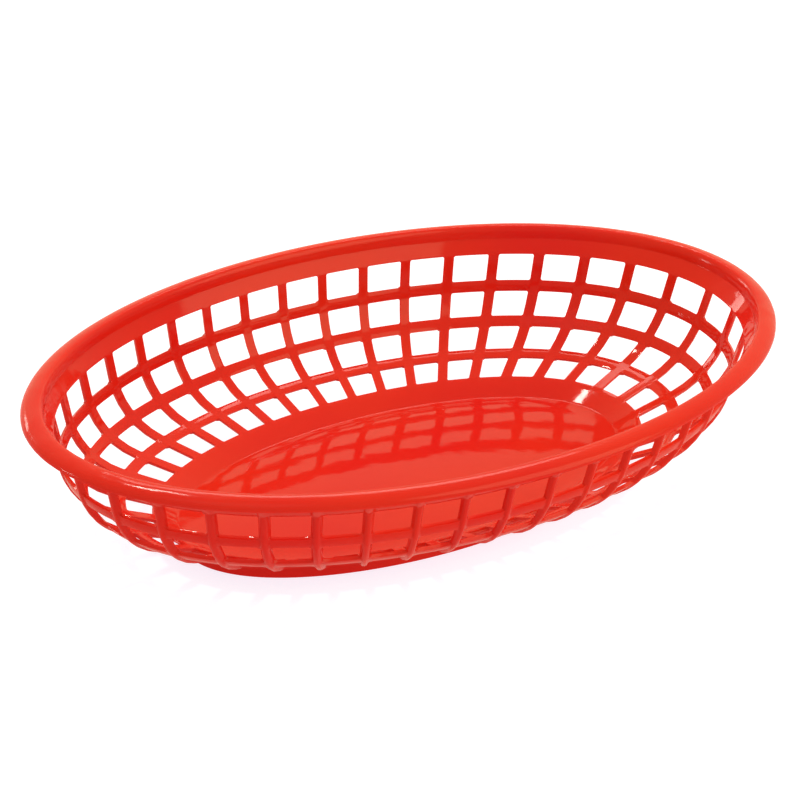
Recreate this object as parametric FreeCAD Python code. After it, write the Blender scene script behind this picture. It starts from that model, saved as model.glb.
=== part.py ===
# A plastic basket for serving food, injection moulded in one piece.
# The frame has its origin at the centre of the underside, +X along the long axis and +Z up.
import FreeCAD, Part
import math
import os

# Overall sizes of the oval, in millimetres
LENGTH = 235.0
WIDTH = 140.8
HEIGHT = 45.0

# For each millimetre that the wall leans in along the basket, it leans in this much across it
INSET_RATIO = 0.835

# Rolled lip: it peaks near its inner side and falls away outwards, hollow underneath
LIP_WIDTH = 6.5
LIP_PEAK_INSET = 5.0
LIP_DROP = 3.0
LIP_INNER_DROP = 3.6
LIP_THICKNESS = 1.5
LIP_STEPS = 3

# Plain collar between the lip and the first row of holes
COLLAR_HEIGHT = 4.2
COLLAR_INSET = 2.5
COLLAR_THICKNESS = 1.5

# Bowl of the wall: a drafted side, one large radius and a shallow apron
WALL_DRAFT = 14.0
BOWL_RADIUS = 24.0
BOWL_STEPS = 4
APRON_ANGLE = 19.5

# Plain shoulder between the last row of holes and the floor
SHOULDER_LENGTH = 8.0
SHOULDER_ANGLE = 27.5

# At both ends of the basket the wall stands this much further in than its oval
END_TUCK = 1.0

# Grid: rows of holes and the flat bands between them, measured down the inside of the wall
HOLE_HEIGHTS = (7.9, 7.5, 8.0, 8.1)
BAND_HEIGHTS = (3.4, 3.9, 4.2)
BAND_THICKNESS = 1.3

# Upright ribs stand proud on the outside and tie the bands together
RIB_COUNT = 40
RIB_WIDTH = 3.0
RIB_DEPTH = 1.7
RIB_SET_BACK = 0.25
RIB_RISE = 5.0
RIB_ROOT = 1.3
ARC_STEPS = 720

# Floor and the foot ring that it stands on
FLOOR_HEIGHT = 5.6
FLOOR_THICKNESS = 1.6
FOOT_THICKNESS = 2.0
FOOT_OVERHANG = 0.4


def sine(angle):
    return math.sin(math.radians(angle))


def cosine(angle):
    return math.cos(math.radians(angle))


# The inside of the wall starts at the top of the first row of holes
ROW_TOP_INSET = LIP_WIDTH + COLLAR_INSET
ROW_TOP_HEIGHT = HEIGHT - LIP_INNER_DROP - COLLAR_HEIGHT
WALL_SLOPE = 90.0 - WALL_DRAFT
GRID_LENGTH = sum(HOLE_HEIGHTS) + sum(BAND_HEIGHTS)

# The straight side and the apron take up what the radius leaves of the height and of the grid
BOWL_LENGTH = BOWL_RADIUS * math.radians(WALL_SLOPE - APRON_ANGLE)
BOWL_DROP = BOWL_RADIUS * (cosine(APRON_ANGLE) - cosine(WALL_SLOPE))
GRID_DROP = ROW_TOP_HEIGHT - FLOOR_HEIGHT - SHOULDER_LENGTH * sine(SHOULDER_ANGLE)
FLAT_LENGTH = GRID_LENGTH - BOWL_LENGTH
SIDE_LENGTH = (GRID_DROP - BOWL_DROP - FLAT_LENGTH * sine(APRON_ANGLE)) / (sine(WALL_SLOPE) - sine(APRON_ANGLE))


def wall_point(distance):
    """Inset, height and slope of the inside of the wall, this far down from the first row of holes."""
    side = min(distance, SIDE_LENGTH)
    inset = ROW_TOP_INSET + side * cosine(WALL_SLOPE)
    height = ROW_TOP_HEIGHT - side * sine(WALL_SLOPE)
    slope = WALL_SLOPE
    bowl = min(distance - SIDE_LENGTH, BOWL_LENGTH)
    if bowl > 0:
        slope = WALL_SLOPE - math.degrees(bowl / BOWL_RADIUS)
        inset += BOWL_RADIUS * (sine(WALL_SLOPE) - sine(slope))
        height -= BOWL_RADIUS * (cosine(slope) - cosine(WALL_SLOPE))
    apron = min(distance, GRID_LENGTH) - SIDE_LENGTH - BOWL_LENGTH
    if apron > 0:
        inset += apron * cosine(APRON_ANGLE)
        height -= apron * sine(APRON_ANGLE)
    shoulder = distance - GRID_LENGTH
    if shoulder > 0:
        slope = SHOULDER_ANGLE
        inset += shoulder * cosine(SHOULDER_ANGLE)
        height -= shoulder * sine(SHOULDER_ANGLE)
    return inset, height, slope


def oval(inset, height, proud=0.0, tuck=0.0):
    """Closed oval edge at one level, inset from the outline, tucked in at its ends and grown by proud."""
    major = LENGTH / 2 - inset - tuck + proud
    minor = WIDTH / 2 - INSET_RATIO * inset + proud
    return Part.Ellipse(FreeCAD.Vector(0, 0, height), major, minor).toShape()


def wall_oval(distance, depth, slope=None):
    """Oval that lies this deep into the wall from its inside."""
    inset, height, own_slope = wall_point(distance)
    angle = own_slope if slope is None else slope
    return oval(inset, height - depth * cosine(angle), depth * sine(angle), END_TUCK)


def strips(ovals):
    """Ruled faces that join each oval to the next."""
    return [Part.makeRuledSurface(a, b) for a, b in zip(ovals, ovals[1:])]


def solid_of(faces):
    """Solid bounded by faces that meet edge to edge."""
    shell = Part.makeShell(faces)
    shell.sewShape()
    solid = Part.makeSolid(Part.Shell(shell.Faces))
    if solid.Volume < 0:
        solid.reverse()
    return solid


def make_rim():
    """Collar and rolled lip, with the hollow under the lip."""
    crease = HEIGHT - LIP_INNER_DROP
    edge = HEIGHT - LIP_DROP
    collar_slope = math.degrees(math.atan2(COLLAR_HEIGHT, COLLAR_INSET))
    section = [wall_oval(0, COLLAR_THICKNESS, collar_slope), wall_oval(0, 0), oval(LIP_WIDTH, crease)]
    for i in range(LIP_STEPS + 1):
        turn = 90.0 * i / LIP_STEPS
        section.append(oval(LIP_PEAK_INSET * (1 - sine(turn)), edge + LIP_DROP * cosine(turn)))
    section.append(oval(LIP_THICKNESS, edge))
    section.append(oval(LIP_PEAK_INSET, HEIGHT - LIP_THICKNESS))
    section.append(oval(LIP_PEAK_INSET, crease - COLLAR_THICKNESS * cosine(collar_slope)))
    return solid_of(strips(section + section[:1]))


def make_band(top, bottom):
    """Flat band round the inside of the wall, between two rows of holes."""
    corners = [wall_oval(top, 0), wall_oval(bottom, 0), wall_oval(bottom, BAND_THICKNESS)]
    corners += [wall_oval(top, BAND_THICKNESS), wall_oval(top, 0)]
    return solid_of(strips(corners))


def make_base():
    """Shoulder, floor and foot ring."""
    floor_inset = wall_point(GRID_LENGTH + SHOULDER_LENGTH)[0]
    foot_inset = floor_inset - FOOT_OVERHANG
    under_shoulder = FLOOR_HEIGHT + FOOT_OVERHANG * sine(SHOULDER_ANGLE) / cosine(SHOULDER_ANGLE)
    foot_top = under_shoulder - BAND_THICKNESS / cosine(SHOULDER_ANGLE)
    floor_edge = oval(floor_inset, FLOOR_HEIGHT, tuck=END_TUCK)
    foot_edge = oval(foot_inset, 0, tuck=END_TUCK)
    ring_edge = oval(foot_inset + FOOT_THICKNESS, 0, tuck=END_TUCK)
    pocket_edge = oval(foot_inset + FOOT_THICKNESS, FLOOR_HEIGHT - FLOOR_THICKNESS, tuck=END_TUCK)
    outside = [floor_edge, wall_oval(GRID_LENGTH, 0), wall_oval(GRID_LENGTH, BAND_THICKNESS, APRON_ANGLE)]
    outside += [oval(foot_inset, foot_top, tuck=END_TUCK), foot_edge]
    floor = Part.Face(Part.Wire(floor_edge))
    sole = Part.makeFace([Part.Wire(foot_edge), Part.Wire(ring_edge)], "Part::FaceMakerBullseye")
    pocket = Part.Face(Part.Wire(pocket_edge))
    return solid_of([floor, sole, pocket] + strips(outside) + strips([ring_edge, pocket_edge]))


def rib_angles():
    """Oval parameters that space the ribs evenly round the first row of holes."""
    major = LENGTH / 2 - ROW_TOP_INSET
    minor = WIDTH / 2 - INSET_RATIO * ROW_TOP_INSET
    step = 2 * math.pi / ARC_STEPS
    lengths = [0.0]
    for i in range(ARC_STEPS):
        middle = (i + 0.5) * step
        lengths.append(lengths[-1] + step * math.hypot(major * math.sin(middle), minor * math.cos(middle)))
    angles = []
    i = 0
    for rib in range(RIB_COUNT):
        target = lengths[-1] * rib / RIB_COUNT
        while lengths[i + 1] <= target:
            i += 1
        angles.append(step * (i + (target - lengths[i]) / (lengths[i + 1] - lengths[i])))
    return angles


def make_rib(angle):
    """Upright rib that follows the wall from under the lip to the foot."""
    along = FreeCAD.Vector(math.cos(angle), INSET_RATIO * math.sin(angle), 0)
    outline = FreeCAD.Vector(LENGTH / 2 * math.cos(angle), WIDTH / 2 * math.sin(angle), 0)
    middle_inset = wall_point(GRID_LENGTH / 2)[0]
    major = LENGTH / 2 - middle_inset
    minor = WIDTH / 2 - INSET_RATIO * middle_inset
    end_part = minor * math.cos(angle) ** 2
    end_share = end_part / (end_part + INSET_RATIO * major * math.sin(angle) ** 2)
    distances = [-RIB_RISE]
    distances += [SIDE_LENGTH + BOWL_LENGTH * i / BOWL_STEPS for i in range(BOWL_STEPS + 1)]
    distances += [GRID_LENGTH, GRID_LENGTH + SHOULDER_LENGTH + RIB_ROOT]

    def edge_at(depth):
        points = []
        for distance in distances:
            inset, height, slope = wall_point(distance)
            own_slope = math.atan2(sine(slope), cosine(slope) * along.Length)
            inset += end_share * END_TUCK
            place = outline - along * inset + along * (depth * math.sin(own_slope) / along.Length)
            place.z = height - depth * math.cos(own_slope)
            points.append(place)
        return points

    inside = edge_at(RIB_SET_BACK)
    outside = edge_at(RIB_DEPTH)
    round_wall = FreeCAD.Vector(-major * math.sin(angle), minor * math.cos(angle), 0)
    width = round_wall * (RIB_WIDTH * along.Length / abs(along.cross(round_wall).z))
    face = Part.Face(Part.makePolygon(inside + outside[::-1] + inside[:1]))
    face.translate(width * -0.5)
    return face.extrude(width)


def make_basket():
    """The whole moulding: rim, bands, base and ribs in one solid."""
    pieces = [make_base()]
    distance = 0.0
    for hole, band in zip(HOLE_HEIGHTS, BAND_HEIGHTS):
        pieces.append(make_band(distance + hole, distance + hole + band))
        distance += hole + band
    pieces += [make_rib(angle) for angle in rib_angles()]
    return make_rim().multiFuse(pieces).Solids[0]


os.makedirs("parts", exist_ok=True)
basket = make_basket()
basket.exportStep("parts/basket.step")
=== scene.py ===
# A red plastic basket for serving food, on a pale floor in soft studio light.
import bpy
import math
from mathutils import Matrix, Vector


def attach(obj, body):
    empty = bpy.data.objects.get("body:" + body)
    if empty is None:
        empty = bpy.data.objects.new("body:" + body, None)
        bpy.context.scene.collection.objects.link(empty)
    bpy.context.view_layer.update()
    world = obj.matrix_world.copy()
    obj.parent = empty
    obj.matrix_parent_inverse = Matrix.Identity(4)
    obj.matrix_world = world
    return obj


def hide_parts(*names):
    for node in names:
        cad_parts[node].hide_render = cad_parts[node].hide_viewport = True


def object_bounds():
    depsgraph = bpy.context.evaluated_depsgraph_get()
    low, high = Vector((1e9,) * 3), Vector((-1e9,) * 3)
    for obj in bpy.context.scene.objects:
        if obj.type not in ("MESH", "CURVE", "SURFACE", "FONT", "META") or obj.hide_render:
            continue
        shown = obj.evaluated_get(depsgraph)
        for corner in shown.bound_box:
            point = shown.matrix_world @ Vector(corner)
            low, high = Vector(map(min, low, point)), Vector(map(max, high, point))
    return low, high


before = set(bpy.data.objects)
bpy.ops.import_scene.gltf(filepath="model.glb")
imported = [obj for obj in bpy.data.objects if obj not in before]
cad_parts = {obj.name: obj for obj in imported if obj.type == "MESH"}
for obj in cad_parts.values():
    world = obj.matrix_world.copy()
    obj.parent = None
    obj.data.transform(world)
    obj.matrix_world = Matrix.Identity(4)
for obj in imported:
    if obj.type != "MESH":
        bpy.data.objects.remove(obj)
cad_low, cad_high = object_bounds()
bpy.ops.object.select_all(action="DESELECT")

# The basket: one injection moulding in glossy red plastic.
# Its grid wall is laid out flat, one bay between two ribs, repeated round the oval and wrapped to the bowl.
# The floor and the foot ring are drawn in from the wall's lower edge, ring by ring.
HALF_LENGTH = cad_high.x
HALF_WIDTH = cad_high.y
HEIGHT = cad_high.z
INSET_RATIO = 0.835

LIP_WIDTH = 0.0065
LIP_PEAK_INSET = 0.005
LIP_DROP = 0.003
LIP_INNER_DROP = 0.0036
LIP_THICKNESS = 0.0015
COLLAR_HEIGHT = 0.0042
COLLAR_INSET = 0.0025

WALL_DRAFT = 14.0
BOWL_RADIUS = 0.024
APRON_ANGLE = 19.5
SHOULDER_LENGTH = 0.008
SHOULDER_ANGLE = 27.5
WALL_THICKNESS = 0.001
HOLE_HEIGHTS = (0.0079, 0.0075, 0.0084, 0.0086)
BAND_HEIGHTS = (0.0034, 0.0035, 0.0037)
HOLE_RADIUS = 0.0005

END_TUCK = 0.0008
END_FLATTENING = 0.0008
END_SHARPNESS = 8

RIB_COUNT = 40
RIB_WIDTH = 0.003
RIB_PROUD = 0.0005
RIB_OVERRUN = 0.0009
RIB_DRIFT = 0.04
HOLE_DRAFT = 0.0003
BAY_WIDTH = 0.0144

FLOOR_HEIGHT = 0.0056
FLOOR_FILLET = 0.0015
FLOOR_DOME = 0.0021
FLOOR_THICKNESS = 0.0016
FOOT_THICKNESS = 0.002
FOOT_TUCK = 0.0008
FOOT_ROOT = 0.0008
EDGE_RADIUS = 0.0003

# Lines of the mesh, and how close points have to be to count as one
RIB_LINES = (0.0, 0.0005, 0.001)
CREASE_LINE = 0.0001
COLLAR_LINE = 0.0005
CORNER_SHARE = 0.4
FLOOR_RINGS = 12
UNDERSIDE_RINGS = (0.66, 0.33)
ARC_STEPS = 720
BEVEL_ANGLE = 40
CORNER_TOLERANCE = 0.01
LINE_TOLERANCE = 0.000001
MERGE_DISTANCE = 0.00001
RING_TOLERANCE = 0.0002


def sine(angle):
    return math.sin(math.radians(angle))


def cosine(angle):
    return math.cos(math.radians(angle))


wall_slope = 90.0 - WALL_DRAFT
collar_slope = math.degrees(math.atan2(COLLAR_HEIGHT, COLLAR_INSET))
collar_length = math.hypot(COLLAR_HEIGHT, COLLAR_INSET)
crease_height = HEIGHT - LIP_INNER_DROP
row_top_inset = LIP_WIDTH + COLLAR_INSET
row_top_height = crease_height - COLLAR_HEIGHT
grid_length = sum(HOLE_HEIGHTS) + sum(BAND_HEIGHTS)
bowl_length = BOWL_RADIUS * math.radians(wall_slope - APRON_ANGLE)
bowl_drop = BOWL_RADIUS * (cosine(APRON_ANGLE) - cosine(wall_slope))
grid_drop = row_top_height - FLOOR_HEIGHT - SHOULDER_LENGTH * sine(SHOULDER_ANGLE)
side_length = (grid_drop - bowl_drop - (grid_length - bowl_length) * sine(APRON_ANGLE))
side_length /= sine(wall_slope) - sine(APRON_ANGLE)
shoulder_end = grid_length + SHOULDER_LENGTH
fillet_length = FLOOR_FILLET * math.radians(SHOULDER_ANGLE)
wall_end = shoulder_end + fillet_length / 2
lip_inner_length = LIP_INNER_DROP
lip_outer_length = math.hypot(LIP_PEAK_INSET, LIP_DROP)
crease = -collar_length
peak = crease - lip_inner_length
lip_edge = peak - lip_outer_length


def shell_point(down):
    """Inset and height of the inside of the shell, this far down from the first row of holes,
    and how far the outside lies out from there and below it."""
    if down < peak:
        turn = 90.0 * (peak - down) / lip_outer_length
        inset = LIP_PEAK_INSET * (1 - sine(turn))
        height = HEIGHT - LIP_DROP * (1 - cosine(turn))
        return inset, height, -LIP_THICKNESS * sine(turn), LIP_THICKNESS * cosine(turn)
    if down < crease:
        turn = 90.0 * (crease - down) / lip_inner_length
        inset = LIP_PEAK_INSET + (LIP_WIDTH - LIP_PEAK_INSET) * cosine(turn)
        height = crease_height + LIP_INNER_DROP * sine(turn)
        back_low = LIP_THICKNESS * cosine(collar_slope)
        drop = back_low + (LIP_THICKNESS - back_low) * sine(turn)
        return inset, height, inset - LIP_PEAK_INSET, drop
    if down < 0:
        share = -down / collar_length
        thickness = WALL_THICKNESS + (LIP_THICKNESS - WALL_THICKNESS) * share
        inset = row_top_inset - COLLAR_INSET * share
        height = row_top_height + COLLAR_HEIGHT * share
        return inset, height, thickness * sine(collar_slope), thickness * cosine(collar_slope)
    side = min(down, side_length)
    inset = row_top_inset + side * cosine(wall_slope)
    height = row_top_height - side * sine(wall_slope)
    slope = wall_slope
    bowl = min(down - side_length, bowl_length)
    if bowl > 0:
        slope = wall_slope - math.degrees(bowl / BOWL_RADIUS)
        inset += BOWL_RADIUS * (sine(wall_slope) - sine(slope))
        height -= BOWL_RADIUS * (cosine(slope) - cosine(wall_slope))
    apron = min(down, grid_length) - side_length - bowl_length
    if apron > 0:
        inset += apron * cosine(APRON_ANGLE)
        height -= apron * sine(APRON_ANGLE)
    fillet_start = shoulder_end - fillet_length / 2
    shoulder = min(down, fillet_start) - grid_length
    if shoulder > 0:
        slope = SHOULDER_ANGLE
        inset += shoulder * cosine(SHOULDER_ANGLE)
        height -= shoulder * sine(SHOULDER_ANGLE)
    fillet = down - fillet_start
    if fillet > 0:
        left = SHOULDER_ANGLE - math.degrees(fillet / FLOOR_FILLET)
        inset += FLOOR_FILLET * (sine(SHOULDER_ANGLE) - sine(left))
        height -= FLOOR_FILLET * (cosine(left) - cosine(SHOULDER_ANGLE))
    root = FOOT_ROOT * max(down - grid_length, 0) / (wall_end - grid_length)
    return inset, height, WALL_THICKNESS * sine(slope), WALL_THICKNESS * cosine(slope) + root


def end_tuck(down):
    """How much further in the shell stands at the two ends of the basket, this far down."""
    if down < crease:
        return 0.0
    if down < 0:
        return END_TUCK * (1 - down / crease)
    share = min(down / wall_end, 1.0)
    return END_TUCK + END_FLATTENING * sine(180 * share) + FOOT_TUCK * share ** 2


def rib_turns():
    """Oval parameters that space the ribs evenly round the first row of holes."""
    step = 2 * math.pi / ARC_STEPS
    major = HALF_LENGTH - row_top_inset
    minor = HALF_WIDTH - INSET_RATIO * row_top_inset
    lengths = [0.0]
    for i in range(ARC_STEPS):
        middle = (i + 0.5) * step
        lengths.append(lengths[-1] + step * math.hypot(major * math.sin(middle), minor * math.cos(middle)))
    turns = []
    i = 0
    for rib in range(RIB_COUNT):
        target = lengths[-1] * rib / RIB_COUNT
        while lengths[i + 1] <= target:
            i += 1
        turns.append(step * (i + (target - lengths[i]) / (lengths[i + 1] - lengths[i])))
    return turns


ribs = rib_turns()
rib_zone = RIB_WIDTH / 2 + HOLE_RADIUS


def turn_beside(rib, distance, inset):
    """Change of the oval parameter that moves a point this far sideways from the middle of a rib."""
    turn = ribs[rib % RIB_COUNT]
    lean = Vector((math.cos(turn), INSET_RATIO * math.sin(turn)))
    minor = HALF_WIDTH - INSET_RATIO * inset
    along = Vector((-(HALF_LENGTH - inset) * math.sin(turn), minor * math.cos(turn)))
    return distance * lean.length / abs(lean.cross(along))


def wrapped(flat):
    """Place on the bowl of a point of the flat grid: x runs round the wall, y down it and z through it."""
    inset, height, reach, drop = shell_point(flat.y)
    rib = math.floor(flat.x / BAY_WIDTH + 0.5)
    beside = flat.x - rib * BAY_WIDTH
    turn = ribs[rib % RIB_COUNT] + 2 * math.pi * (rib // RIB_COUNT)
    if abs(beside) <= rib_zone:
        turn += turn_beside(rib, beside, inset)
    else:
        other = rib + (1 if beside > 0 else -1)
        other_turn = ribs[other % RIB_COUNT] + 2 * math.pi * (other // RIB_COUNT)
        side = math.copysign(1, beside)
        start = turn + side * turn_beside(rib, rib_zone, inset)
        end = other_turn - side * turn_beside(other, rib_zone, inset)
        turn = start + (end - start) * (abs(beside) - rib_zone) / (BAY_WIDTH - 2 * rib_zone)
    major = HALF_LENGTH - inset + flat.z * reach
    minor = HALF_WIDTH - INSET_RATIO * inset + flat.z * reach
    drift = RIB_DRIFT * (inset - row_top_inset)
    turn += drift * math.sin(2 * turn) / math.hypot(major * math.sin(turn), minor * math.cos(turn))
    major -= end_tuck(flat.y) * math.cos(turn) ** END_SHARPNESS
    return Vector((major * math.cos(turn), minor * math.sin(turn), height - flat.z * drop))


def steps_between(start, end, count):
    return [start + (end - start) * i / count for i in range(count)]


half_rib = RIB_WIDTH / 2
bay_lines = list(RIB_LINES) + [half_rib, half_rib + CORNER_SHARE * HOLE_RADIUS]
bay_lines += steps_between(rib_zone, BAY_WIDTH - rib_zone, 3)
bay_lines += [BAY_WIDTH - rib_zone, BAY_WIDTH - half_rib - CORNER_SHARE * HOLE_RADIUS]
bay_lines += [BAY_WIDTH - line for line in (half_rib,) + RIB_LINES[::-1]]

hole_edges = []
row_lines = steps_between(lip_edge, peak, 8) + steps_between(peak, crease - 3 * CREASE_LINE, 5)
row_lines += [crease + CREASE_LINE * step for step in (-3, -1, 1, 3)]
row_lines += steps_between(crease + 12 * CREASE_LINE, -COLLAR_LINE, 3) + [-COLLAR_LINE]
down = 0.0
for hole, band in zip(HOLE_HEIGHTS, BAND_HEIGHTS + (0.0,)):
    hole_edges.append((down, down + hole))
    row_lines += [down, down + CORNER_SHARE * HOLE_RADIUS]
    row_lines += steps_between(down + HOLE_RADIUS, down + hole - HOLE_RADIUS, 2)
    row_lines += [down + hole - HOLE_RADIUS, down + hole - CORNER_SHARE * HOLE_RADIUS]
    down += hole + band
    if band:
        row_lines += steps_between(down - band, down, 2)
row_lines += steps_between(grid_length, shoulder_end - FLOOR_FILLET, 3)
row_lines += steps_between(shoulder_end - FLOOR_FILLET, wall_end, 5) + [wall_end]

bpy.ops.mesh.primitive_grid_add(x_subdivisions=len(bay_lines) - 1, y_subdivisions=len(row_lines) - 1, size=2)
basket = bpy.context.object
basket.name = "basket_moulding"
for vertex in basket.data.vertices:
    column = round((vertex.co.x + 1) / 2 * (len(bay_lines) - 1))
    row = round((vertex.co.y + 1) / 2 * (len(row_lines) - 1))
    vertex.co = (bay_lines[column], row_lines[row], 0)

# Holes are opened in the flat bay and their corners rounded.
bpy.ops.object.mode_set(mode="EDIT")
bpy.ops.mesh.select_mode(type="FACE")
bpy.ops.mesh.select_all(action="DESELECT")
bpy.ops.object.mode_set(mode="OBJECT")
for face in basket.data.polygons:
    in_hole = any(top < face.center.y < bottom for top, bottom in hole_edges)
    face.select = in_hole and half_rib < face.center.x < BAY_WIDTH - half_rib
bpy.ops.object.mode_set(mode="EDIT")
bpy.ops.mesh.delete(type="FACE")
bpy.ops.object.mode_set(mode="OBJECT")
corner_places = {(0, 1): 0.0, (0, CORNER_SHARE): 22.5, (0, 0): 45.0, (CORNER_SHARE, 0): 67.5, (1, 0): 90.0}
for vertex in basket.data.vertices:
    for top, bottom in hole_edges:
        for edge_y, way_y in ((top, 1), (bottom, -1)):
            for edge_x, way_x in ((half_rib, 1), (BAY_WIDTH - half_rib, -1)):
                across = way_x * (vertex.co.x - edge_x) / HOLE_RADIUS
                along = way_y * (vertex.co.y - edge_y) / HOLE_RADIUS
                for (place_x, place_y), turn in corner_places.items():
                    if max(abs(across - place_x), abs(along - place_y)) < CORNER_TOLERANCE:
                        vertex.co.x = edge_x + way_x * HOLE_RADIUS * (1 - cosine(turn))
                        vertex.co.y = edge_y + way_y * HOLE_RADIUS * (1 - sine(turn))
                        break

# The bay is repeated, given its thickness, and its ribs are raised on the outside.
bays = basket.modifiers.new("bays", "ARRAY")
bays.count = RIB_COUNT
bays.use_relative_offset = False
bays.use_constant_offset = True
bays.constant_offset_displace = (BAY_WIDTH, 0, 0)
bays.use_merge_vertices = True
bays.merge_threshold = MERGE_DISTANCE
bpy.ops.object.modifier_apply(modifier="bays")
wall = basket.modifiers.new("wall", "SOLIDIFY")
wall.thickness = 1.0
wall.offset = 1.0
wall.use_even_offset = False
bpy.ops.object.modifier_apply(modifier="wall")

strip_end = RIB_COUNT * BAY_WIDTH
for face in basket.data.polygons:
    at_seam = face.center.x < MERGE_DISTANCE or face.center.x > strip_end - MERGE_DISTANCE
    at_floor = face.center.y > wall_end - LINE_TOLERANCE
    face.select = at_seam or at_floor
bpy.ops.object.mode_set(mode="EDIT")
bpy.ops.mesh.delete(type="FACE")
bpy.ops.object.mode_set(mode="OBJECT")

rib_top = crease - RIB_OVERRUN
bands = [(above[1], below[0]) for above, below in zip(hole_edges, hole_edges[1:])]
for vertex in basket.data.vertices:
    flat = vertex.co.copy()
    if flat.z > 0.5:
        rib_line = round(flat.x / BAY_WIDTH) * BAY_WIDTH
        beside = abs(flat.x - rib_line)
        if beside < half_rib and rib_top < flat.y < wall_end - MERGE_DISTANCE:
            flat.z += RIB_PROUD / WALL_THICKNESS * math.sqrt(1 - (beside / half_rib) ** 2)
        if 0 <= flat.y <= grid_length and beside < rib_zone:
            narrowing = min(beside / half_rib, (rib_zone - beside) / HOLE_RADIUS)
            flat.x -= math.copysign(2 * HOLE_DRAFT * narrowing, flat.x - rib_line)
        for top, bottom in bands:
            if top - LINE_TOLERANCE < flat.y < bottom + LINE_TOLERANCE:
                middle = (top + bottom) / 2
                flat.y = middle + (flat.y - middle) * (1 - 2 * HOLE_DRAFT / (bottom - top))
                break
    vertex.co = wrapped(flat)

bpy.ops.object.mode_set(mode="EDIT")
bpy.ops.mesh.select_all(action="SELECT")
bpy.ops.mesh.remove_doubles(threshold=MERGE_DISTANCE)
bpy.ops.mesh.select_all(action="DESELECT")
bpy.ops.object.mode_set(mode="OBJECT")


def select_ring(height):
    """Selects the open edges of the moulding at one height."""
    bpy.ops.object.mode_set(mode="EDIT")
    bpy.ops.mesh.select_mode(type="EDGE")
    bpy.ops.mesh.select_all(action="DESELECT")
    bpy.ops.mesh.select_non_manifold()
    bpy.ops.object.mode_set(mode="OBJECT")
    vertices = basket.data.vertices
    for edge in basket.data.edges:
        at_height = all(abs(vertices[i].co.z - height) < RING_TOLERANCE for i in edge.vertices)
        edge.select = edge.select and at_height
    kept = {i for edge in basket.data.edges if edge.select for i in edge.vertices}
    for vertex in vertices:
        vertex.select = vertex.index in kept
    for face in basket.data.polygons:
        face.select = False
    bpy.ops.object.mode_set(mode="EDIT")


def draw_in(scale_x, scale_y, rise):
    """Extrudes the selected ring and scales it towards the middle, raised by the given height."""
    bpy.ops.mesh.extrude_edges_move(TRANSFORM_OT_translate={"value": (0, 0, rise)})
    bpy.ops.transform.resize(value=(scale_x, scale_y, 1), center_override=(0, 0, 0))


def floor_rise(size):
    """Height of the domed floor above its edge, on a ring of this size."""
    return FLOOR_DOME * (1 - size ** 2)


end_inset, end_height, end_reach, end_drop = shell_point(wall_end)
select_ring(end_height)
size = 1.0
for i in range(1, FLOOR_RINGS):
    new_size = 1 - i / FLOOR_RINGS
    draw_in(new_size / size, new_size / size, floor_rise(new_size) - floor_rise(size))
    size = new_size
bpy.ops.mesh.extrude_edges_move(TRANSFORM_OT_translate={"value": (0, 0, floor_rise(0) - floor_rise(size))})
bpy.ops.mesh.merge(type="CENTER")

select_ring(end_height - end_drop)
foot_major = HALF_LENGTH - end_inset - END_TUCK - FOOT_TUCK + end_reach
foot_minor = HALF_WIDTH - INSET_RATIO * end_inset + end_reach
draw_in(1, 1, -(end_height - end_drop))
draw_in((foot_major - FOOT_THICKNESS) / foot_major, (foot_minor - FOOT_THICKNESS) / foot_minor, 0)
draw_in(1, 1, end_height - FLOOR_THICKNESS)
size = 1.0
for new_size in UNDERSIDE_RINGS:
    draw_in(new_size / size, new_size / size, floor_rise(new_size) - floor_rise(size))
    size = new_size
bpy.ops.mesh.extrude_edges_move(TRANSFORM_OT_translate={"value": (0, 0, floor_rise(0) - floor_rise(size))})
bpy.ops.mesh.merge(type="CENTER")
bpy.ops.mesh.select_all(action="SELECT")
bpy.ops.mesh.normals_make_consistent(inside=False)
bpy.ops.object.mode_set(mode="OBJECT")

edges = basket.modifiers.new("edges", "BEVEL")
edges.width = EDGE_RADIUS
edges.segments = 2
edges.limit_method = "ANGLE"
edges.angle_limit = math.radians(BEVEL_ANGLE)
bpy.ops.object.modifier_apply(modifier="edges")
bpy.ops.object.shade_smooth()

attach(basket, "root")
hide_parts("basket")

# Glossy red plastic, coloured right through.
# Waves left by the cooling bend its reflections, most at the two ends. The skin has a fine grain, the lip is
# a little more satin than the rest, and use has left faint scuffs.
RED = (0.66, 0.023, 0.011, 1)
DEEP_RED = (0.63, 0.014, 0.012, 1)
GLOSS = 0.06
SCUFFED = 0.16
SATIN = 0.14
LIP_HEIGHTS = (0.0405, 0.0435)
END_PLACES = (0.080, 0.105)
TINT_SCALE = 18
SCUFF_SCALES = (260, 240)
WAVE_SCALE = 130
WAVE_DEPTH = 0.0004
GRAIN_SCALE = 1400
GRAIN_DEPTH = 0.000002

skin = bpy.data.node_groups.new("moulded_skin", "ShaderNodeTree")
outputs = (("Color", "NodeSocketColor"), ("Roughness", "NodeSocketFloat"), ("Normal", "NodeSocketVector"))
for name, kind in outputs:
    skin.interface.new_socket(name, in_out="OUTPUT", socket_type=kind)
nodes = skin.nodes
places = nodes.new("ShaderNodeTexCoord")


def add_noise(scale, detail, stretch=(1, 1, 1)):
    """Noise on the object's own coordinates, stretched along an axis where the factor is small."""
    mapping = nodes.new("ShaderNodeMapping")
    mapping.inputs["Scale"].default_value = stretch
    skin.links.new(places.outputs["Object"], mapping.inputs["Vector"])
    noise = nodes.new("ShaderNodeTexNoise")
    noise.inputs["Scale"].default_value = scale
    noise.inputs["Detail"].default_value = detail
    skin.links.new(mapping.outputs["Vector"], noise.inputs["Vector"])
    return noise.outputs["Fac"]


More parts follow.
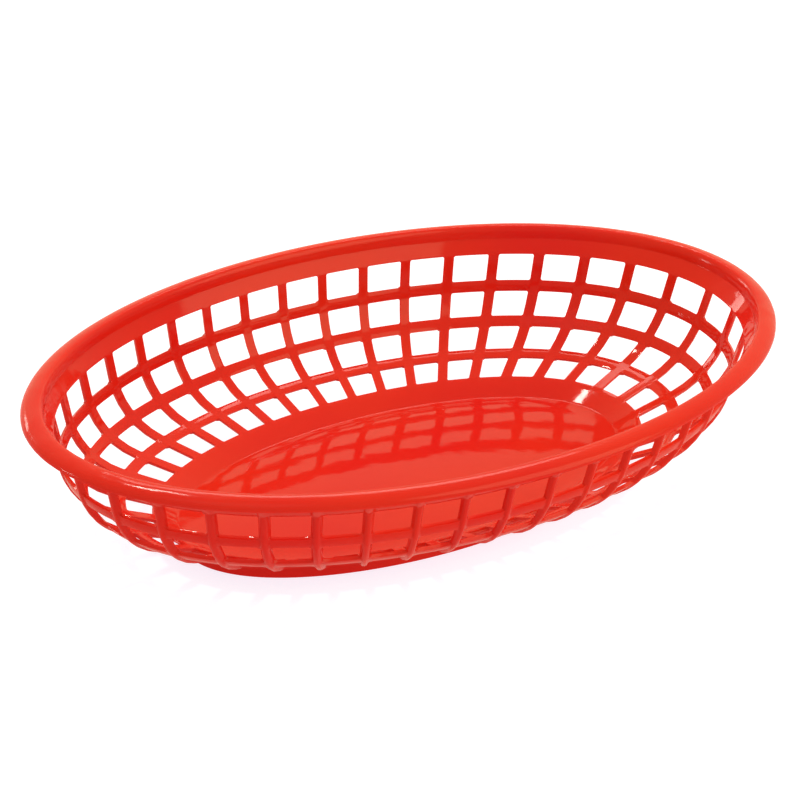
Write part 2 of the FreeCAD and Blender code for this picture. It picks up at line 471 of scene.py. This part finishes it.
def add_range(value, low_in, high_in, low_out, high_out):
    ramp = nodes.new("ShaderNodeMapRange")
    for name, number in zip(("From Min", "From Max", "To Min", "To Max"), (low_in, high_in, low_out, high_out)):
        ramp.inputs[name].default_value = number
    skin.links.new(value, ramp.inputs["Value"])
    return ramp.outputs["Result"]


def add_bump(height, distance, before=None, strength=None):
    bump = nodes.new("ShaderNodeBump")
    bump.inputs["Strength"].default_value = 1.0
    if strength is not None:
        skin.links.new(strength, bump.inputs["Strength"])
    bump.inputs["Distance"].default_value = distance
    skin.links.new(height, bump.inputs["Height"])
    if before is not None:
        skin.links.new(before, bump.inputs["Normal"])
    return bump.outputs["Normal"]


tint = nodes.new("ShaderNodeMix")
tint.data_type = "RGBA"
tint.inputs[6].default_value = DEEP_RED
tint.inputs[7].default_value = RED
skin.links.new(add_range(add_noise(TINT_SCALE, 2), 0.35, 0.65, 0, 1), tint.inputs[0])
scuffs = nodes.new("ShaderNodeMath")
scuffs.operation = "MAXIMUM"
skin.links.new(add_range(add_noise(SCUFF_SCALES[0], 3, (1, 0.06, 1)), 0.66, 0.74, 0, 1), scuffs.inputs[0])
skin.links.new(add_range(add_noise(SCUFF_SCALES[1], 3, (0.05, 1, 1)), 0.67, 0.75, 0, 1), scuffs.inputs[1])
position = nodes.new("ShaderNodeSeparateXYZ")
skin.links.new(places.outputs["Object"], position.inputs[0])
on_lip = add_range(position.outputs["Z"], *LIP_HEIGHTS, 0, 1)
satin = nodes.new("ShaderNodeMix")
skin.links.new(on_lip, satin.inputs[0])
skin.links.new(add_range(scuffs.outputs[0], 0, 1, GLOSS, SCUFFED), satin.inputs[2])
satin.inputs[3].default_value = SATIN
from_middle = nodes.new("ShaderNodeMath")
from_middle.operation = "ABSOLUTE"
skin.links.new(position.outputs["X"], from_middle.inputs[0])
at_ends = add_range(from_middle.outputs[0], *END_PLACES, 0.2, 1)
waves = add_bump(add_noise(WAVE_SCALE, 1), WAVE_DEPTH, strength=at_ends)
grain = add_bump(add_noise(GRAIN_SCALE, 2), GRAIN_DEPTH, waves)
group_out = nodes.new("NodeGroupOutput")
skin.links.new(tint.outputs[2], group_out.inputs["Color"])
skin.links.new(satin.outputs[0], group_out.inputs["Roughness"])
skin.links.new(grain, group_out.inputs["Normal"])

plastic = bpy.data.materials.new("red_plastic")
plastic.use_nodes = True
shader = plastic.node_tree.nodes["Principled BSDF"]
moulded = plastic.node_tree.nodes.new("ShaderNodeGroup")
moulded.node_tree = skin
for target, source in (("Base Color", "Color"), ("Roughness", "Roughness"), ("Normal", "Normal")):
    plastic.node_tree.links.new(moulded.outputs[source], shader.inputs[target])
shader.inputs["IOR"].default_value = 1.4
shader.inputs["Specular IOR Level"].default_value = 0.3
shader.inputs["Subsurface Weight"].default_value = 0.12
shader.inputs["Subsurface Radius"].default_value = (1.0, 0.15, 0.08)
shader.inputs["Subsurface Scale"].default_value = 0.0015
basket.data.materials.clear()
basket.data.materials.append(plastic)

# The floor: one flat sheet of white paper, a plain square of matt material.
# It is brighter to the camera than to the basket, so it stays white around it.
FLOOR_SIZE = 6
SEEN_WHITE = (0.72, 0.78, 0.87, 1)
CAST_GLOW = (0.56, 0.22, 0.20, 1)

bpy.ops.mesh.primitive_plane_add(size=FLOOR_SIZE)
floor = bpy.context.object
floor.name = "studio_floor"
paper = bpy.data.materials.new("white_paper")
paper.use_nodes = True
paper_nodes = paper.node_tree.nodes
paper_shader = paper_nodes["Principled BSDF"]
paper_shader.inputs["Base Color"].default_value = (0.4, 0.4, 0.4, 1)
paper_shader.inputs["Specular IOR Level"].default_value = 0
paper_shader.inputs["Roughness"].default_value = 0.9
paper_shader.inputs["Emission Strength"].default_value = 1.0
paths = paper_nodes.new("ShaderNodeLightPath")
glow = paper_nodes.new("ShaderNodeMix")
glow.data_type = "RGBA"
glow.inputs[6].default_value = CAST_GLOW
glow.inputs[7].default_value = SEEN_WHITE
paper.node_tree.links.new(paths.outputs["Is Camera Ray"], glow.inputs[0])
paper.node_tree.links.new(glow.outputs[2], paper_shader.inputs["Emission Color"])
floor.data.materials.append(paper)

# Soft studio light: a warm backdrop, dimmer behind the camera, a soft box above the far right side and a small
# key lamp above the basket, a large warm box low on the right, a wide fill above the camera, and two small
# lamps beyond the far side and the left end.
BACKDROP_COLOR = (1, 0.85, 0.56, 1)
BACKDROP_DIRECTION = (0.62, 0.78, 0)
LAMP_COLOR = (1, 0.94, 0.84)
WARM_LAMP_COLOR = (1, 0.75, 0.45)
LAMP_SIDE = Vector((0.78, -0.62, 0))

bpy.context.scene.view_settings.view_transform = "Standard"
world = bpy.data.worlds.new("studio")
bpy.context.scene.world = world
world.use_nodes = True
sky = world.node_tree.nodes
view_direction = sky.new("ShaderNodeTexCoord")
toward_backdrop = sky.new("ShaderNodeVectorMath")
toward_backdrop.operation = "DOT_PRODUCT"
toward_backdrop.inputs[1].default_value = BACKDROP_DIRECTION
brightness = sky.new("ShaderNodeMapRange")
brightness.interpolation_type = "SMOOTHSTEP"
for name, number in (("From Min", 0.0), ("From Max", 0.7), ("To Min", 0.72), ("To Max", 1.0)):
    brightness.inputs[name].default_value = number
world.node_tree.links.new(view_direction.outputs["Generated"], toward_backdrop.inputs[0])
world.node_tree.links.new(toward_backdrop.outputs["Value"], brightness.inputs["Value"])
world.node_tree.links.new(brightness.outputs["Result"], sky["Background"].inputs["Strength"])
sky["Background"].inputs["Color"].default_value = BACKDROP_COLOR


def add_lamp(name, place, aim, width, depth, power, color=LAMP_COLOR):
    """Oval area lamp at a place, turned towards the point that it is aimed at."""
    data = bpy.data.lights.new(name, "AREA")
    data.shape = "ELLIPSE"
    data.size = width
    data.size_y = depth
    data.energy = power
    data.color = color
    lamp = bpy.data.objects.new(name, data)
    bpy.context.scene.collection.objects.link(lamp)
    lamp.location = place
    away = (Vector(place) - Vector(aim)).normalized()
    side = (LAMP_SIDE - LAMP_SIDE.dot(away) * away).normalized()
    lamp.rotation_euler = Matrix((side, away.cross(side), away)).transposed().to_euler()


add_lamp("overhead", (0.42, 0.50, 0.88), (0, 0, 0), 0.6, 0.3, 2.2)
add_lamp("key", (-0.09, 0.33, 1.06), (0.03, 0.03, 0), 0.15, 0.15, 3.4)
add_lamp("front", (0.62, -1.05, 0.5), (0, 0, 0.02), 1.2, 0.9, 6.4, WARM_LAMP_COLOR)
add_lamp("fill", (-0.7, -0.8, 1.7), (0, 0, 0), 1.2, 1.2, 1.2)
add_lamp("far", (-0.26, 1.24, 0.33), (0, 0, 0.03), 0.35, 0.25, 1.6)
add_lamp("left", (-1.16, 0.56, 0.17), (0, 0, 0.03), 0.2, 0.2, 1.0)

# The camera stands where the photograph was taken from.
CAMERA_AZIMUTH = math.radians(-38.45)
CAMERA_ELEVATION = math.radians(27.99)
CAMERA_ROLL = math.radians(4.58)
CAMERA_DISTANCE = 0.9954
CAMERA_SHIFT_RIGHT = 0.00067
CAMERA_SHIFT_UP = -0.02572
back = Vector((math.sin(CAMERA_AZIMUTH) * math.cos(CAMERA_ELEVATION),
               -math.cos(CAMERA_AZIMUTH) * math.cos(CAMERA_ELEVATION), math.sin(CAMERA_ELEVATION)))
level = Vector((math.cos(CAMERA_AZIMUTH), math.sin(CAMERA_AZIMUTH), 0))
upright = back.cross(level)
right = math.cos(CAMERA_ROLL) * level + math.sin(CAMERA_ROLL) * upright
up = math.cos(CAMERA_ROLL) * upright - math.sin(CAMERA_ROLL) * level
camera_data = bpy.data.cameras.new("camera")
camera_data.sensor_width = 36
camera_data.lens = 160.4
camera_data.clip_start = 0.05
camera_data.clip_end = 20
camera = bpy.data.objects.new("camera", camera_data)
bpy.context.scene.collection.objects.link(camera)
place = CAMERA_DISTANCE * back - CAMERA_SHIFT_RIGHT * right - CAMERA_SHIFT_UP * up
camera.matrix_world = Matrix.Translation(place) @ Matrix((right, up, back)).transposed().to_4x4()
bpy.context.scene.camera = camera
